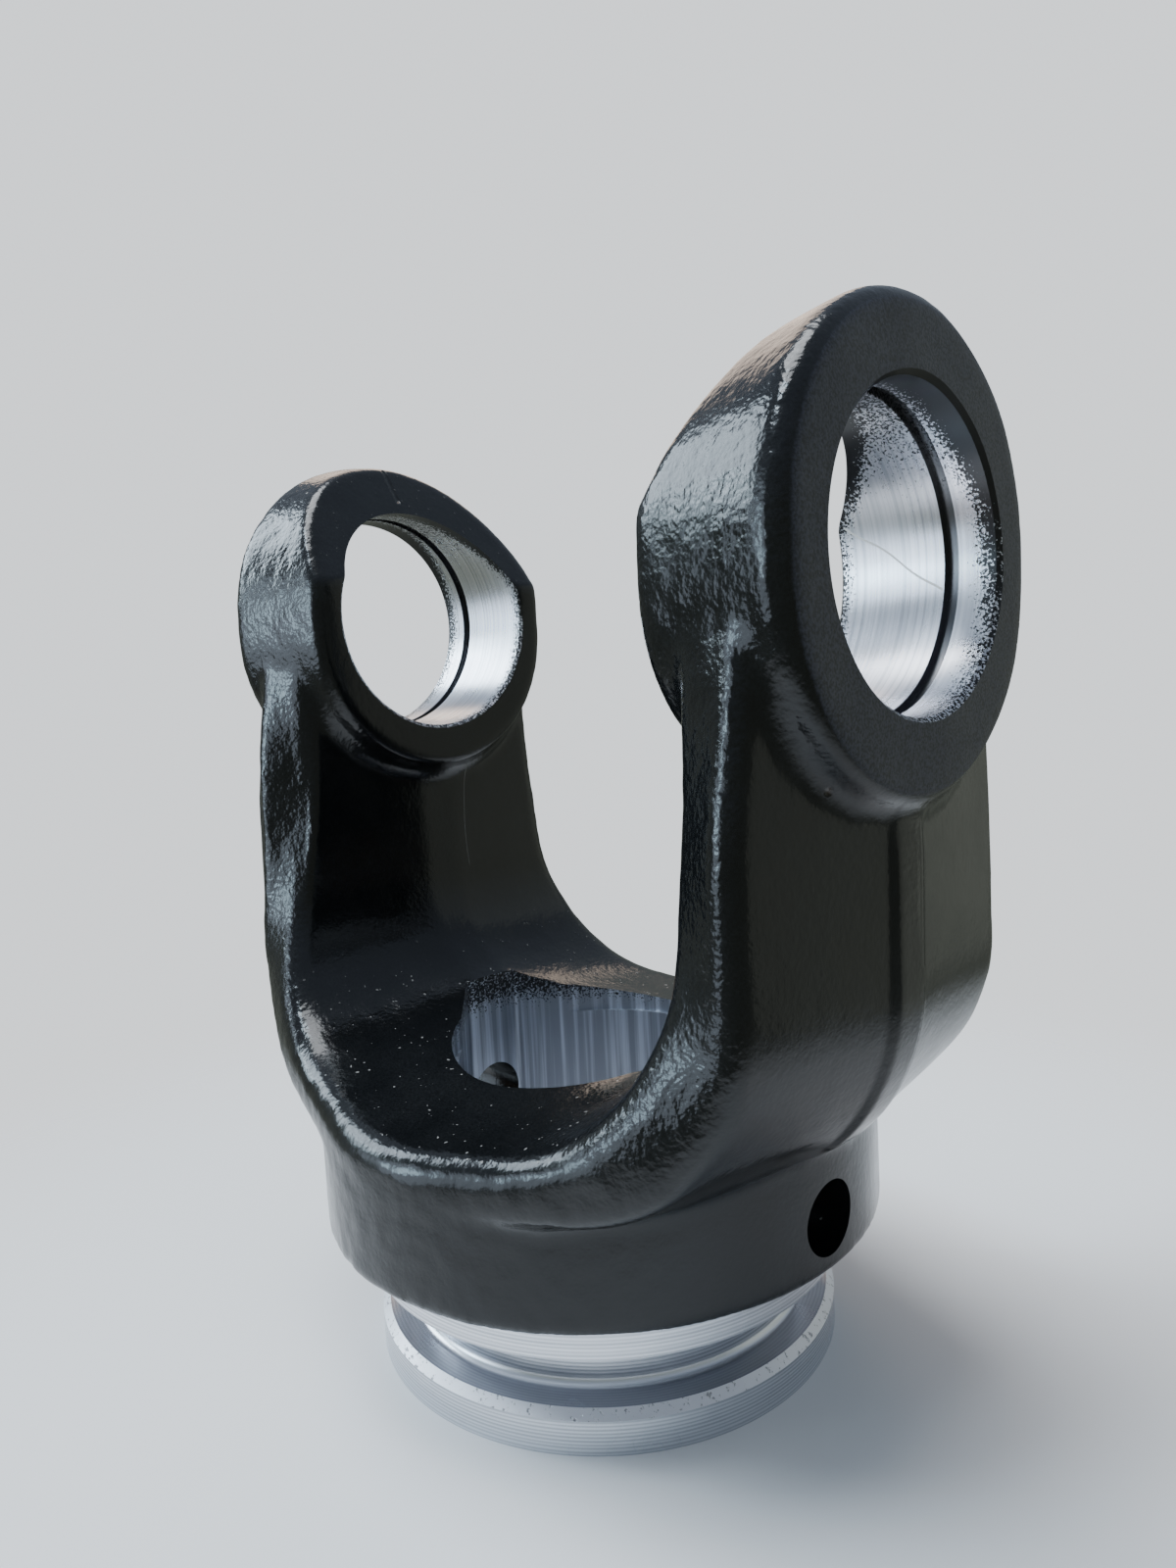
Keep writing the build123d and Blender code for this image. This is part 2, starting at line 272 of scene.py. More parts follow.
def machined_faces(mesh):
    """Marks of the faces of bores, socket, pin hole and collar."""
    centres, normals = face_table(mesh)
    ear_reach, ear_towards = inward(centres, normals, 1, 2, BORE_HEIGHT)
    hub_reach, hub_towards = inward(centres, normals, 0, 1)
    pin_reach, pin_towards = inward(centres, normals, 1, 2, PIN_HEIGHT)
    side = np.abs(centres[:, 0])
    height = centres[:, 2]
    in_groove = (side > RING_GROOVE_INNER - 0.05) & (side < RING_GROOVE_OUTER + 0.05)
    bores = (ear_reach < RING_GROOVE_RADIUS + 0.05) & ((ear_towards > 0.5) | in_groove)
    bores &= side > EAR_INNER_REACH - 0.1
    socket = (hub_reach < NOSE_REACH + 0.8) & (hub_towards > 0.25) & (np.abs(normals[:, 2]) < 0.2)
    step = (np.abs(height - LEAD_HEIGHT) < 0.05) & (hub_reach < LEAD_RADIUS + 0.05)
    pin = (pin_reach < PIN_RADIUS + 0.05) & (pin_towards > 0.5) & (side > SOCKET_RADIUS - 2)
    under_hub = (height < HUB_BOTTOM + 0.02) & (hub_reach < SHOULDER_RADIUS + 0.1)
    collar = (height < HUB_BOTTOM - 0.02) | under_hub
    return bores, socket | step, pin, collar


def blank_mesh(source):
    """The solid before machining: its machined faces come off and the openings are closed."""
    work = bmesh.new()
    work.from_mesh(source)
    bmesh.ops.remove_doubles(work, verts=work.verts[:], dist=1e-6)
    merged = mesh_from("merged", work)
    bores, socket, pin, collar = machined_faces(merged)
    work = bmesh.new()
    work.from_mesh(merged)
    bpy.data.meshes.remove(merged)
    work.faces.ensure_lookup_table()
    taken = np.flatnonzero(bores | socket | pin | collar)
    bmesh.ops.delete(work, geom=[work.faces[i] for i in taken], context="FACES")
    bmesh.ops.holes_fill(work, edges=[edge for edge in work.edges if edge.is_boundary], sides=0)
    bmesh.ops.triangulate(work, faces=work.faces[:])
    return mesh_from("blank", work)


def links(mesh):
    """The two ends of every edge, and the number of edges at every point."""
    ends = np.empty(len(mesh.edges) * 2, dtype=np.int64)
    mesh.edges.foreach_get("vertices", ends)
    ends = ends.reshape(-1, 2)
    count = np.bincount(ends.ravel(), minlength=len(mesh.vertices))
    return ends, np.maximum(count, 1)


def neighbour_mean(values, ends, count):
    """The mean of each point's neighbours."""
    if values.ndim > 1:
        return np.stack([neighbour_mean(column, ends, count) for column in values.T], axis=1)
    total = np.bincount(ends[:, 0], weights=values[ends[:, 1]], minlength=len(count))
    total += np.bincount(ends[:, 1], weights=values[ends[:, 0]], minlength=len(count))
    return total / count


def points_of(mesh):
    """The points of a mesh, in millimetres."""
    points = np.empty(len(mesh.vertices) * 3)
    mesh.vertices.foreach_get("co", points)
    return points.reshape(-1, 3) / MM


def normals_of(mesh):
    normals = np.empty(len(mesh.vertices) * 3)
    mesh.vertices.foreach_get("normal", normals)
    return normals.reshape(-1, 3)


def set_points(mesh, points):
    mesh.vertices.foreach_set("co", (points * MM).ravel())
    mesh.update()


def ease(value, low, high):
    """A smooth step from 0 at low to 1 at high."""
    part = np.clip((value - low) / (high - low), 0.0, 1.0)
    return part * part * (3.0 - 2.0 * part)


def hump(value, start, full, fading, end):
    """A smooth rise from 0 at start to 1 at full, and a fall from fading to 0 at the end."""
    return ease(value, start, full) * (1.0 - ease(value, fading, end))


def pattern(points, scale, seed):
    """Smooth noise at the points, one cycle in about 1 / scale millimetres."""
    shift = Vector((seed * 17.3, seed * 5.1, seed * 9.7))
    return np.array([noise.noise(Vector(spot) * scale + shift) for spot in points])


def corner_blend(mesh, points, ends, count):
    """How much each point takes part in the blending of inner corners, from 0 to 1."""
    hollow = np.einsum("ij,ij->i", neighbour_mean(points, ends, count) - points, normals_of(mesh))
    blend = ease(hollow, 0.012, 0.05)
    for _ in range(5):
        blend = np.maximum(blend, neighbour_mean(blend, ends, count) * 1.05)
    for _ in range(3):
        blend = neighbour_mean(blend, ends, count)
    return np.clip(blend, 0.0, 1.0) * (0.35 + 0.65 * hump(points[:, 2], *UNDER_EARS))


def soften(mesh):
    """Evens out the skin, blends inner corners, most of all under the ears, and rounds the throat's rim."""
    ends, count = links(mesh)
    points = points_of(mesh)
    for _ in range(EVEN_PASSES):
        points += 0.5 * (neighbour_mean(points, ends, count) - points)
    set_points(mesh, points)
    blend = corner_blend(mesh, points, ends, count)[:, None]
    for _ in range(BLEND_PASSES):
        points += 0.6 * blend * (neighbour_mean(points, ends, count) - points)
    rim = hump(points[:, 2], *THROAT_RIM) * ease(np.abs(points[:, 1]), *THROAT_RIM_REACH)
    for _ in range(RIM_PASSES):
        points += 0.5 * rim[:, None] * (neighbour_mean(points, ends, count) - points)
    set_points(mesh, points)


def land_ridge(points, normals):
    """The raised parting land on the outer sides of the arms, with one edge that wanders."""
    outward = np.abs(normals[:, 0]) + np.maximum(-normals[:, 2], 0.0)
    outer = ease(outward, 0.6, 0.85) * ease(np.abs(points[:, 0]), 34.0, 36.0)
    outer *= 1.0 - ease(points[:, 2], 62.0, 67.0)
    wander = 0.25 * pattern(points * np.array((0, 0, 1.0)), 0.2, 4)
    near_edge = ease(points[:, 1], -LAND_HALF_WIDTH - 0.9, -LAND_HALF_WIDTH + 0.3)
    far_edge = ease(-points[:, 1], -LAND_HALF_WIDTH - 0.1 + wander, -LAND_HALF_WIDTH + 0.5 + wander)
    return LAND_RISE * outer * near_edge * far_edge


def forge_skin(mesh):
    """Gives the skin the land of the parting line, a dent and the uneven surface of a forging."""
    points = points_of(mesh)
    normals = normals_of(mesh)
    flank = ease(np.abs(normals[:, 1]), 0.35, 0.8)
    upward = ease(normals[:, 2], 0.4, 0.9)
    rough = np.clip(0.2 + 0.8 * flank + 0.3 * upward, 0.0, 1.0)
    broad = pattern(points, 0.10, 1)
    pebble = pattern(points, 0.55, 2)
    lift = BROAD_LIFT * broad + PEBBLE_LIFT * rough * pebble - SKIN_SINK
    lift += land_ridge(points, normals)
    across = (points[:, 0] - DENT_PLACE[0]) / DENT_SPREAD[0]
    along = (points[:, 2] - DENT_PLACE[1]) / DENT_SPREAD[1]
    lift -= DENT_DEPTH * np.exp(-across ** 2 - along ** 2) * flank * (points[:, 1] < 0)
    points += normals * lift[:, None]
    low = np.array(cad_low) / MM
    high = np.array(cad_high) / MM
    set_points(mesh, np.clip(points, low, high))


def arc(centre, radius, start, end, steps):
    """Points of an arc, with angles in degrees."""
    spots = []
    for step in range(steps + 1):
        angle = math.radians(start + (end - start) * step / steps)
        spots.append((centre[0] + radius * math.cos(angle), centre[1] + radius * math.sin(angle)))
    return spots


def collar_solid():
    """Flange, groove and shoulder, turned in one setting, reaching up into the hub."""
    outline = [(FLANGE_RADIUS, 0.0), (FLANGE_RADIUS, FLANGE_TOP - FLANGE_CHAMFER)]
    outline.append((FLANGE_RADIUS - FLANGE_CHAMFER, FLANGE_TOP))
    corner = NECK_RADIUS + NECK_FILLET
    outline += arc((corner, FLANGE_TOP + NECK_FILLET), NECK_FILLET, 270, 180, 6)
    outline += arc((corner, SHOULDER_BOTTOM - NECK_FILLET), NECK_FILLET, 180, 90, 6)
    outline += [(SHOULDER_RADIUS, SHOULDER_BOTTOM), (SHOULDER_RADIUS, HUB_BOTTOM + 3.0)]
    return lathe("collar", outline, COLLAR_STEPS)


def bore_solid(side):
    """What the boring head takes out of one ear, ring groove included."""
    outline = [
        (BORE_RADIUS + BORE_CHAMFER, EAR_INNER_REACH - PAST),
        (BORE_RADIUS + BORE_CHAMFER, EAR_INNER_REACH),
        (BORE_RADIUS, EAR_INNER_REACH + BORE_CHAMFER),
        (BORE_RADIUS, RING_GROOVE_INNER),
        (RING_GROOVE_RADIUS, RING_GROOVE_INNER),
        (RING_GROOVE_RADIUS, RING_GROOVE_OUTER),
        (BORE_RADIUS, RING_GROOVE_OUTER),
        (BORE_RADIUS, EAR_OUTER_REACH - BORE_CHAMFER),
        (BORE_RADIUS + BORE_CHAMFER, EAR_OUTER_REACH),
        (BORE_RADIUS + BORE_CHAMFER, EAR_OUTER_REACH + PAST),
    ]
    turn = Matrix.Translation((0, 0, BORE_HEIGHT * MM)) @ Matrix.Rotation(side * math.pi / 2, 4, "Y")
    return lathe("bore", outline, BORE_STEPS, turn)


def socket_outline():
    """The tube profile: a round with two flat noses, joined by tangents."""
    corner = math.hypot(NOSE_REACH, NOSE_HALF_WIDTH)
    tangent = math.degrees(math.atan2(NOSE_HALF_WIDTH, NOSE_REACH) + math.acos(SOCKET_RADIUS / corner))
    back = NOSE_ROUNDING * math.tan(math.radians(tangent) / 2)
    centre = (NOSE_REACH - NOSE_ROUNDING, NOSE_HALF_WIDTH - back)
    quarter = arc(centre, NOSE_ROUNDING, 0, tangent, 8) + arc((0, 0), SOCKET_RADIUS, tangent, 90, 24)
    upper = quarter + [(-x, y) for x, y in reversed(quarter[:-1])]
    return upper + [(-x, -y) for x, y in upper]


def pin_solid():
    turn = Matrix.Translation((0, 0, PIN_HEIGHT * MM)) @ Matrix.Rotation(math.pi / 2, 4, "Y")
    reach = HUB_RADIUS + PAST
    return lathe("pin", [(PIN_RADIUS, -reach), (PIN_RADIUS, reach)], PIN_STEPS, turn)


def machine(piece):
    """Turns the collar on, then cuts bores, socket and pin hole."""
    top = LEAD_HEIGHT + 5 * PAST
    combine(piece, collar_solid(), "UNION")
    for side in (1, -1):
        combine(piece, bore_solid(side), "DIFFERENCE")
    combine(piece, prism("socket", socket_outline(), -PAST, top), "DIFFERENCE")
    lead = [(LEAD_RADIUS, LEAD_HEIGHT), (LEAD_RADIUS, top)]
    combine(piece, lathe("lead", lead, BORE_STEPS), "DIFFERENCE")
    combine(piece, pin_solid(), "DIFFERENCE")


def make_yoke():
    piece = new_object("yoke_forging", blank_mesh(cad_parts[NODE].data))
    remesh = piece.modifiers.new("skin", "REMESH")
    remesh.mode = "VOXEL"
    remesh.voxel_size = SKIN_VOXEL * MM
    piece.data = applied(piece)
    soften(piece.data)
    forge_skin(piece.data)
    machine(piece)
    mesh = piece.data
    mesh.materials.clear()
    mesh.materials.append(paint_material())
    mesh.materials.append(steel_material())
    bores, socket, _, collar = machined_faces(mesh)
    mesh.polygons.foreach_set("material_index", (bores | socket | collar).astype(np.int32))
    mesh.shade_smooth()
    mesh.set_sharp_from_angle(angle=math.radians(SHARP_ANGLE))
    weighted = piece.modifiers.new("normals", "WEIGHTED_NORMAL")
    weighted.keep_sharp = True
    piece.data = applied(piece)
    return piece


class Nodes:
    """Short calls for building the nodes of a material."""

    def __init__(self, name):
        self.material = bpy.data.materials.new(name)
        self.material.use_nodes = True
        self.tree = self.material.node_tree
        self.shader = self.tree.nodes["Principled BSDF"]
        coordinates = self.tree.nodes.new("ShaderNodeTexCoord")
        self.place = coordinates.outputs["Object"]
        self.normal = coordinates.outputs["Normal"]

    def put(self, socket, value):
        if isinstance(value, bpy.types.NodeSocket):
            self.tree.links.new(value, socket)
        else:
            socket.default_value = value

    def math(self, operation, first, second=0.0):
        node = self.tree.nodes.new("ShaderNodeMath")
        node.operation = operation
        self.put(node.inputs[0], first)
        self.put(node.inputs[1], second)
        return node.outputs[0]

    def product(self, first, *others):
        for other in others:
            first = self.math("MULTIPLY", first, other)
        return first

    def total(self, first, *others):
        for other in others:
            first = self.math("ADD", first, other)
        return first

    def less(self, first, second):
        return self.math("SUBTRACT", first, second)

    def larger(self, first, second):
        return self.math("MAXIMUM", first, second)

    def size(self, value):
        return self.math("ABSOLUTE", value)

    def ramp(self, value, low, high, first=0.0, last=1.0):
        node = self.tree.nodes.new("ShaderNodeMapRange")
        node.interpolation_type = "SMOOTHSTEP"
        self.put(node.inputs["Value"], value)
        node.inputs["From Min"].default_value = low
        node.inputs["From Max"].default_value = high
        node.inputs["To Min"].default_value = first
        node.inputs["To Max"].default_value = last
        return node.outputs["Result"]

    def fall(self, value, low, high):
        """One up to low, and nothing from high on."""
        return self.ramp(value, low, high, 1.0, 0.0)

    def band(self, value, low, high, soft):
        """One between low and high, with soft ends."""
        return self.product(self.ramp(value, low - soft, low), self.fall(value, high, high + soft))

    def between(self, value, limits, soft):
        """One between two limits in millimetres, with soft ends in metres."""
        return self.band(value, limits[0] * MM, limits[1] * MM, soft)

    def stretched(self, factors):
        node = self.tree.nodes.new("ShaderNodeMapping")
        self.put(node.inputs["Vector"], self.place)
        node.inputs["Scale"].default_value = factors
        return node.outputs["Vector"]

    def noise(self, scale, detail=2.0, roughness=0.5, place=None):
        node = self.tree.nodes.new("ShaderNodeTexNoise")
        self.put(node.inputs["Vector"], place or self.place)
        node.inputs["Scale"].default_value = scale
        node.inputs["Detail"].default_value = detail
        node.inputs["Roughness"].default_value = roughness
        return node.outputs["Fac"]

    def noise_along(self, length, scale, detail):
        """Noise that changes along one length only."""
        node = self.tree.nodes.new("ShaderNodeCombineXYZ")
        self.put(node.inputs[0], length)
        return self.noise(scale, detail, 0.6, node.outputs[0])

    def split(self, vector):
        node = self.tree.nodes.new("ShaderNodeSeparateXYZ")
        self.put(node.inputs[0], vector)
        return node.outputs

    def near(self, spot, inner, outer):
        """One within the inner distance of a spot, and nothing past the outer one."""
        node = self.tree.nodes.new("ShaderNodeVectorMath")
        node.operation = "DISTANCE"
        self.put(node.inputs[0], self.place)
        node.inputs[1].default_value = spot
        return self.fall(node.outputs["Value"], inner, outer)

    def radius(self, first, second):
        return self.math("SQRT", self.total(self.product(first, first), self.product(second, second)))

    def blend(self, share, first, second):
        node = self.tree.nodes.new("ShaderNodeMix")
        node.data_type = "RGBA"
        self.put(node.inputs["Factor"], share)
        for socket, value in ((node.inputs[6], first), (node.inputs[7], second)):
            self.put(socket, value if isinstance(value, bpy.types.NodeSocket) else (*value, 1.0))
        return node.outputs[2]

    def bump(self, height):
        """A bump from heights in millimetres."""
        node = self.tree.nodes.new("ShaderNodeBump")
        node.inputs["Distance"].default_value = MM
        self.put(node.inputs["Height"], height)
        return node.outputs["Normal"]


def trimming_marks(n):
    """Faint marks of the trimming tool across the parting land of each arm, as heights."""
    x, y, z = n.split(n.place)
    land = n.product(n.band(y, -0.0026, 0.0006, 0.0008), n.ramp(n.size(x), 0.0425, 0.0432))
    chatter = n.noise(1.0, 1.0, 0.5, n.stretched((100.0, 300.0, 1700.0)))
    return n.product(chatter, n.product(land, n.between(z, TRIMMED_HEIGHTS, 0.003)), 0.07)


def parting_seam(n):
    """The seam of the parting line on the slope above each bore."""
    x, y, z = n.split(n.place)
    seam = n.product(n.fall(n.size(y), 0.0001, 0.0005), n.between(z, SEAM_HEIGHTS, 0.0008))
    return n.product(seam, n.fall(n.size(x), 0.0385, 0.0400))


def arm_scratch(n):
    """A bowed scratch down the inner face of the left arm."""
    x, y, z = n.split(n.place)
    drop = n.less(z, 0.0606)
    bow = n.total(0.0044, n.product(drop, 0.0323), n.product(drop, drop, 11.75))
    scratch = n.fall(n.size(n.less(y, bow)), 0.00004, 0.00012)
    scratch = n.product(scratch, n.between(z, SCRATCH_HEIGHTS, 0.001), n.fall(x, -0.0285, -0.0275))
    return n.product(scratch, n.ramp(n.split(n.normal)[0], 0.5, 0.8))


def paint_material():
    """Gloss black paint over a pebbly forging skin, with dust on upward faces."""
    n = Nodes("black_paint")
    x, _, z = n.split(n.place)
    facing_x, facing_y, facing_z = n.split(n.normal)
    flank = n.product(n.ramp(n.size(facing_y), 0.3, 0.75), n.ramp(z, 0.030, 0.042))
    above = n.ramp(facing_z, 0.45, 0.9)
    ear_face = n.product(n.ramp(n.size(x), 0.0450, 0.0455), n.ramp(n.size(facing_x), 0.85, 0.97))
    cloud = n.noise(120.0, 3.0, 0.6)
    pebble = n.noise(1500.0, 1.5, 0.45)
    grain = n.noise(3800.0, 2.0, 0.5)
    specks = n.ramp(n.noise(1500.0, 1.0, 0.5), 0.735, 0.765)
    dust = n.product(specks, n.ramp(facing_z, 0.4, 0.9))
    scratch = arm_scratch(n)
    nick = n.near([length * MM for length in NICK_PLACE], 0.0003, 0.0009)
    tint = n.blend(n.product(cloud, n.ramp(grain, 0.35, 0.65, 0.4, 1.4)), PAINT_DARK, PAINT_LIGHT)
    # The ears' outer faces: more matte paint, and a lighter blue-grey tint that is a painted sheen
    tint = n.blend(n.product(ear_face, n.ramp(grain, 0.35, 0.65, 0.3, 1.0)), tint, EAR_FACE_SHEEN_TINT)
    tint = n.blend(n.product(dust, 0.6), tint, DUST_TINT)
    tint = n.blend(n.product(scratch, 0.6), tint, SCRATCH_TINT)
    tint = n.blend(n.product(nick, 0.7), tint, NICK_TINT)
    n.put(n.shader.inputs["Base Color"], tint)
    gloss = n.ramp(cloud, 0.3, 0.7, 0.13, 0.21)
    gloss = n.total(gloss, n.product(ear_face, 0.27), n.product(dust, 0.3), n.product(scratch, 0.3))
    n.put(n.shader.inputs["Roughness"], gloss)
    n.shader.inputs["Specular IOR Level"].default_value = 0.42
    depth = n.product(flank, n.ramp(z, 0.066, 0.076, 0.075, 0.05))
    depth = n.total(0.028, depth, n.product(above, 0.03))
    relief = n.total(n.product(pebble, depth), n.product(grain, n.ramp(ear_face, 0.0, 1.0, 0.012, 0.03)))
    relief = n.total(relief, trimming_marks(n), n.product(nick, -0.3), n.product(parting_seam(n), -0.25))
    n.put(n.shader.inputs["Normal"], n.bump(relief))
    return n.material


def stray_paint_and_top_shade(n, bored, broached):
    """Paint at both rims of a bore, thick, and thin at the mouth of the socket. More dark speckle along the
    top of each bore is partly stray paint and partly painted shade.
    """
    x, _, z = n.split(n.place)
    side = n.size(x)
    speckle = n.noise(3400.0, 3.0, 0.65)
    outer_rim = n.ramp(side, RING_GROOVE_OUTER * MM - 0.0003, EAR_OUTER_REACH * MM)
    outer_rim = n.product(outer_rim, n.ramp(z, 0.078, 0.096, 0.28, 0.42))
    sloped = n.product(n.larger(n.less(z, RELIEF_HEIGHT * MM), 0.0), RELIEF_SLOPE)
    inner_rim = n.ramp(n.less(side, sloped), 0.0272, 0.0310, 0.31, 0.0)
    # Along the top of a bore: partly stray paint, partly painted shade
    top = n.ramp(z, 0.092, 0.106)
    share = n.total(n.larger(outer_rim, inner_rim), n.product(top, 0.28))
    in_bores = n.product(bored, n.ramp(n.total(speckle, share), 0.72, 0.77))
    crept = n.ramp(n.total(speckle, n.ramp(z, 0.031, 0.037, 0.0, 0.34)), 0.74, 0.79)
    return n.larger(in_bores, n.product(broached, crept))


def bore_hair(n):
    """A light hair that lies across the right bore."""
    x, y, z = n.split(n.place)
    fallen = n.product(n.less(x, HAIR_REACH[0] * MM), HAIR_SLOPE)
    course = n.less(z, n.total(HAIR_HEIGHT * MM, fallen))
    course = n.total(course, n.product(n.math("SINE", n.product(x, 900.0)), 0.0002))
    hair = n.fall(n.size(course), 0.00010, 0.00018)
    return n.product(hair, n.between(x, HAIR_REACH, 0.0003), n.ramp(y, 0.009, 0.011))


def ring_groove_shade(n, bored):
    """The walls and the bottom of the ring groove in each bore, painted near-black there as painted shade.
    """
    x, y, z = n.split(n.place)
    bore_radius = n.radius(y, n.less(z, BORE_HEIGHT * MM))
    below = n.ramp(bore_radius, BORE_RADIUS * MM + 0.00005, BORE_RADIUS * MM + 0.0002)
    return n.product(bored, below, n.between(n.size(x), (RING_GROOVE_INNER, RING_GROOVE_OUTER), 0.0001))


def flange_chamfer(n, turned):
    """The sloped edge at the top of the flange."""
    x, y, _ = n.split(n.place)
    slope = n.product(turned, n.band(n.split(n.normal)[2], 0.5, 0.8, 0.05))
    limits = (FLANGE_RADIUS - FLANGE_CHAMFER - 0.1, FLANGE_RADIUS + 0.1)
    return n.product(slope, n.between(n.radius(x, y), limits, 0.0001))


def steel_material():
    """Bare machined steel: turned collar, broached socket, bored ears with stray paint at the rims."""
    n = Nodes("machined_steel")
    x, y, z = n.split(n.place)
    turned = n.fall(z, HUB_BOTTOM * MM - 0.0002, HUB_BOTTOM * MM + 0.0002)
    bored = n.ramp(z, 0.055, 0.060)
    broached = n.less(n.less(1.0, turned), bored)
    turning = n.total(z, n.radius(x, y))
    feed = n.math("SINE", n.product(turning, math.tau / (FEED_PITCH * MM)))
    rings = n.total(n.product(feed, 0.16), n.noise_along(turning, 1700.0, 2.0))
    streaks = n.noise(900.0, 3.0, 0.6, n.stretched((1.0, 1.0, 0.02)))
    honing = n.noise_along(x, 1900.0, 2.0)
    cloud = n.noise(90.0, 2.0, 0.5)
    groove_shade = ring_groove_shade(n, bored)
    # Upward faces of the collar are darkened: a painted dark reflection
    ledge_reflection = n.product(turned, n.ramp(n.split(n.normal)[2], 0.85, 0.95))
    chamfer = flange_chamfer(n, turned)
    pits = n.product(chamfer, n.ramp(n.noise(1500.0, 3.0, 0.7), 0.58, 0.66))
    stray_and_top_shade = stray_paint_and_top_shade(n, bored, broached)
    hair = bore_hair(n)
    tint = n.blend(cloud, STEEL_DARK, STEEL_LIGHT)
    tint = n.blend(n.product(turned, n.ramp(rings, 0.30, 0.70)), tint, TURNED_TINT)
    tint = n.blend(n.product(broached, 0.6), tint, BROACHED_DARK)
    tint = n.blend(n.product(broached, n.ramp(streaks, 0.42, 0.66)), tint, BROACHED_LIGHT)
    tint = n.blend(n.product(bored, n.ramp(honing, 0.3, 0.6)), tint, BORED_TINT)
    tint = n.blend(n.product(ledge_reflection, 0.75), tint, LEDGE_REFLECTION_TINT)
    tint = n.blend(chamfer, tint, CHAMFER_TINT)
    tint = n.blend(n.product(pits, 0.7), tint, PIT_TINT)
    # The ring groove painted near-black: painted shade
    tint = n.blend(n.product(groove_shade, 0.8), tint, GROOVE_SHADE_TINT)
    tint = n.blend(stray_and_top_shade, tint, STRAY_PAINT_AND_SHADE_TINT)
    tint = n.blend(hair, tint, HAIR_TINT)
    n.put(n.shader.inputs["Base Color"], tint)
    n.put(n.shader.inputs["Metallic"], n.fall(n.larger(stray_and_top_shade, hair), 0.0, 1.0))
    gloss = n.ramp(cloud, 0.3, 0.7, 0.24, 0.32)
    gloss = n.total(gloss, n.product(chamfer, 0.25), n.product(broached, 0.12))
    n.put(n.shader.inputs["Roughness"], gloss)
    height = n.total(n.product(rings, turned, 0.008), n.product(streaks, broached, 0.02))
    height = n.total(height, n.product(honing, bored, 0.006))
    height = n.total(height, n.product(stray_and_top_shade, 0.02), n.product(pits, -0.05))
    n.put(n.shader.inputs["Normal"], n.bump(height))
    return n.material


def floor_material():
    """A pale floor that fades into the backdrop away from the part."""
    n = Nodes("pale_floor")
    x, y, _ = n.split(n.place)
    n.put(n.shader.inputs["Alpha"], n.fall(n.radius(x, y), FLOOR_FADE[0] * MM, FLOOR_FADE[1] * MM))
    mottle = n.noise(6.0, 4.0, 0.6)
    n.put(n.shader.inputs["Base Color"], n.blend(mottle, FLOOR_DARK, FLOOR_LIGHT))
    n.shader.inputs["Roughness"].default_value = 0.9
    n.shader.inputs["Specular IOR Level"].default_value = 0.1
    return n.material


def make_floor():
    work = bmesh.new()
    bmesh.ops.create_circle(work, cap_ends=True, segments=128, radius=FLOOR_RADIUS * MM)
    floor = new_object("floor", mesh_from("floor", work))
    floor.data.materials.append(floor_material())


def make_camera():
    yaw = math.radians(CAMERA_YAW)
    pitch = math.radians(CAMERA_PITCH)
    roll = math.radians(CAMERA_ROLL)
    forward = Vector((-math.sin(yaw) * math.cos(pitch), math.cos(yaw) * math.cos(pitch), math.sin(pitch)))
    level = forward.cross(Vector((0, 0, 1))).normalized()
    upright = level.cross(forward)
    right = math.cos(roll) * level + math.sin(roll) * upright
    up = -math.sin(roll) * level + math.cos(roll) * upright
    turn = Matrix((right, up, -forward)).transposed()
    data = bpy.data.cameras.new("camera")
    data.sensor_fit = "VERTICAL"
    data.sensor_height = SENSOR_HEIGHT
    data.lens = SENSOR_HEIGHT * FOCAL_PIXELS / PHOTO_HEIGHT
    data.clip_start = 0.005
    camera = new_object("camera", data)
    camera.matrix_world = Matrix.Translation(Vector(CAMERA_PLACE) * MM) @ turn.to_4x4()
    bpy.context.scene.camera = camera


def make_sun(name, direction, spread, strength, tint):
    """A far soft light that shines from a direction, with its angular width in degrees."""
    data = bpy.data.lights.new(name, "SUN")
    data.angle = math.radians(spread)
    data.energy = strength
    data.color = tint
    lamp = new_object(name, data)
    lamp.rotation_euler = Vector(direction).to_track_quat("Z", "Y").to_euler()


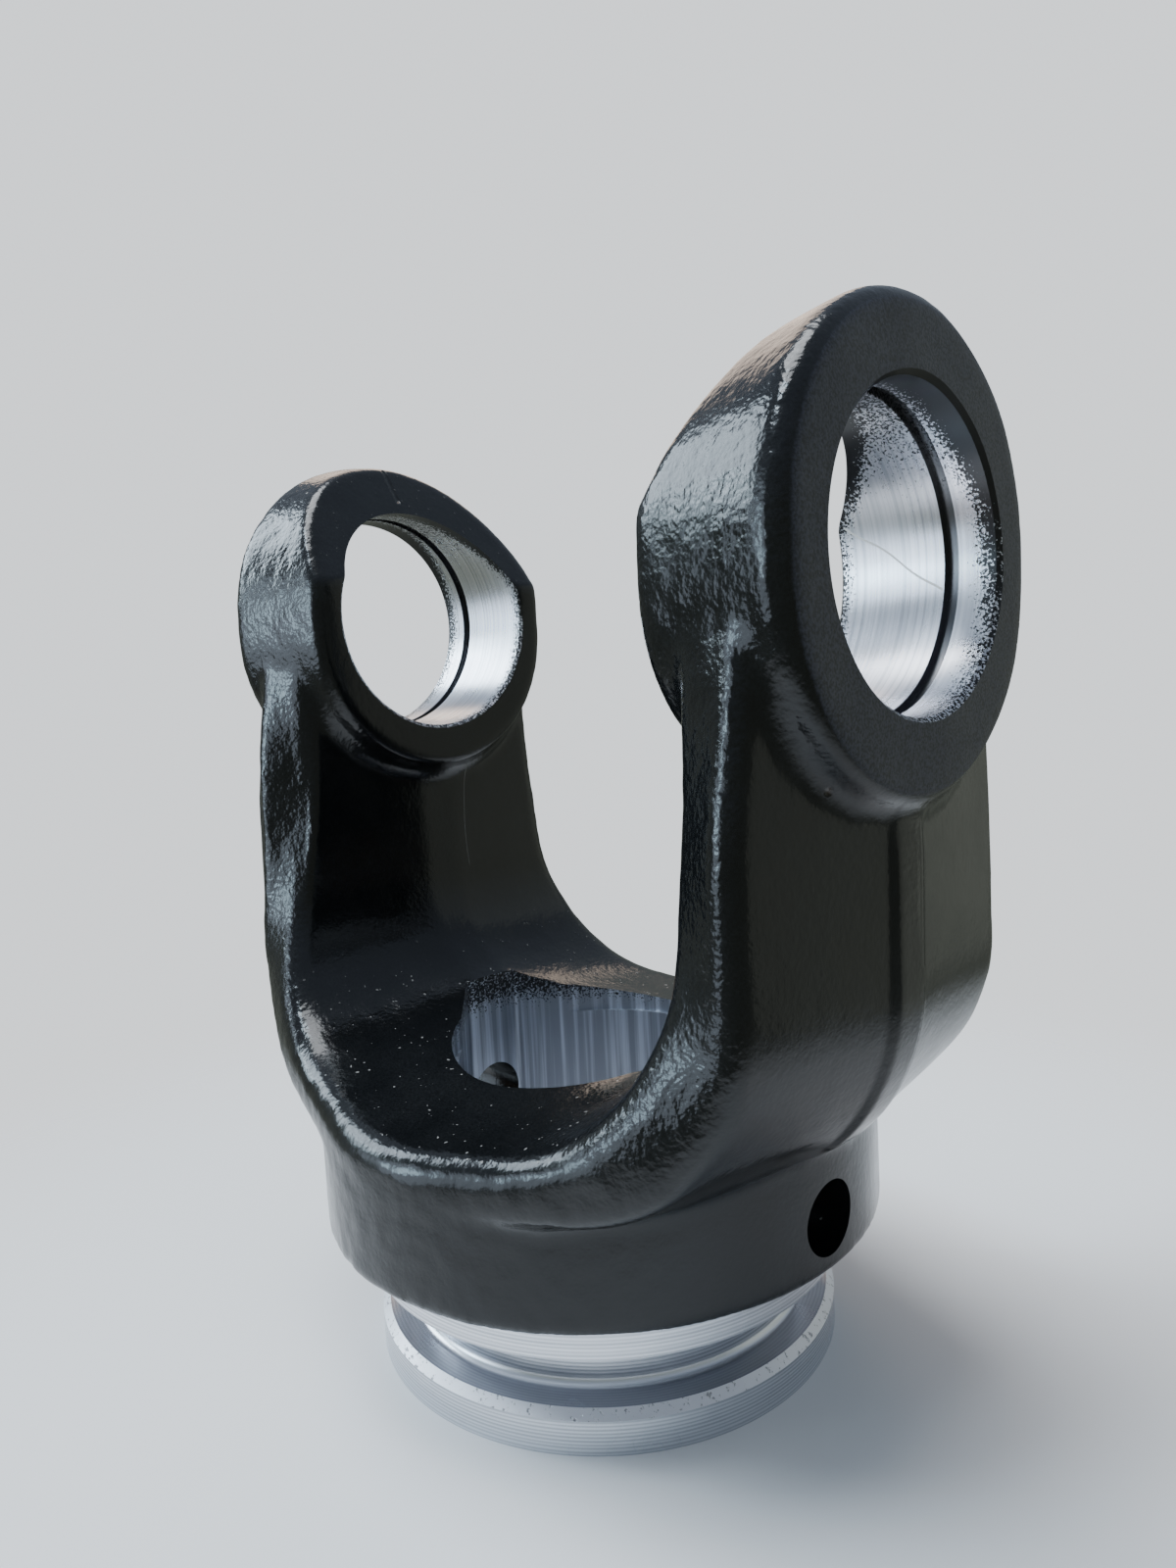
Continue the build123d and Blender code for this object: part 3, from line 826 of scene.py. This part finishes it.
def make_world():
    """A dim room that is a little lighter overhead, seen by the camera as a plain pale backdrop."""
    world = bpy.data.worlds.new("studio")
    world.use_nodes = True
    tree = world.node_tree
    coordinates = tree.nodes.new("ShaderNodeTexCoord")
    split = tree.nodes.new("ShaderNodeSeparateXYZ")
    ramp = tree.nodes.new("ShaderNodeMapRange")
    room = tree.nodes.new("ShaderNodeMix")
    path = tree.nodes.new("ShaderNodeLightPath")
    shown = tree.nodes.new("ShaderNodeMix")
    room.data_type = "RGBA"
    shown.data_type = "RGBA"
    room.inputs[6].default_value = (*ROOM_LOW, 1.0)
    room.inputs[7].default_value = (*ROOM_HIGH, 1.0)
    shown.inputs[7].default_value = (*BACKDROP, 1.0)
    ramp.inputs["From Min"].default_value = 0.05
    ramp.inputs["From Max"].default_value = 0.7
    tree.links.new(coordinates.outputs["Generated"], split.inputs[0])
    tree.links.new(split.outputs[2], ramp.inputs["Value"])
    tree.links.new(ramp.outputs["Result"], room.inputs["Factor"])
    tree.links.new(room.outputs[2], shown.inputs[6])
    tree.links.new(path.outputs["Is Camera Ray"], shown.inputs["Factor"])
    tree.links.new(shown.outputs[2], tree.nodes["Background"].inputs["Color"])
    bpy.context.scene.world = world


def make_lights():
    make_sun("window", (-0.79, -0.30, 0.53), 26.0, 1.5, (0.74, 0.88, 1.0))
    make_sun("skylight", (-0.22, -0.45, 0.86), 14.0, 1.0, (0.74, 0.88, 1.0))
    make_sun("overhead", (-0.2, -0.1, 0.98), 36.0, 2.6, (0.92, 0.96, 1.0))
    make_sun("low_window", (-0.83, -0.46, 0.31), 14.0, 0.4, (0.7, 0.88, 1.0))
    make_sun("front_window", (-0.58, -0.80, 0.12), 13.0, 0.4, (0.6, 0.85, 1.0))
    make_sun("sky", (-0.56, -0.82, 0.06), 40.0, 0.95, (0.70, 0.83, 1.0))
    make_sun("far_room", (0.55, 0.82, 0.08), 60.0, 0.2, (0.95, 1.0, 0.88))
    make_sun("wall", (-0.63, 0.53, 0.57), 34.0, 0.55, (1.0, 0.78, 0.6))
    make_world()


yoke = make_yoke()
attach(yoke, "root")
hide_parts(NODE)
make_floor()
make_camera()
make_lights()
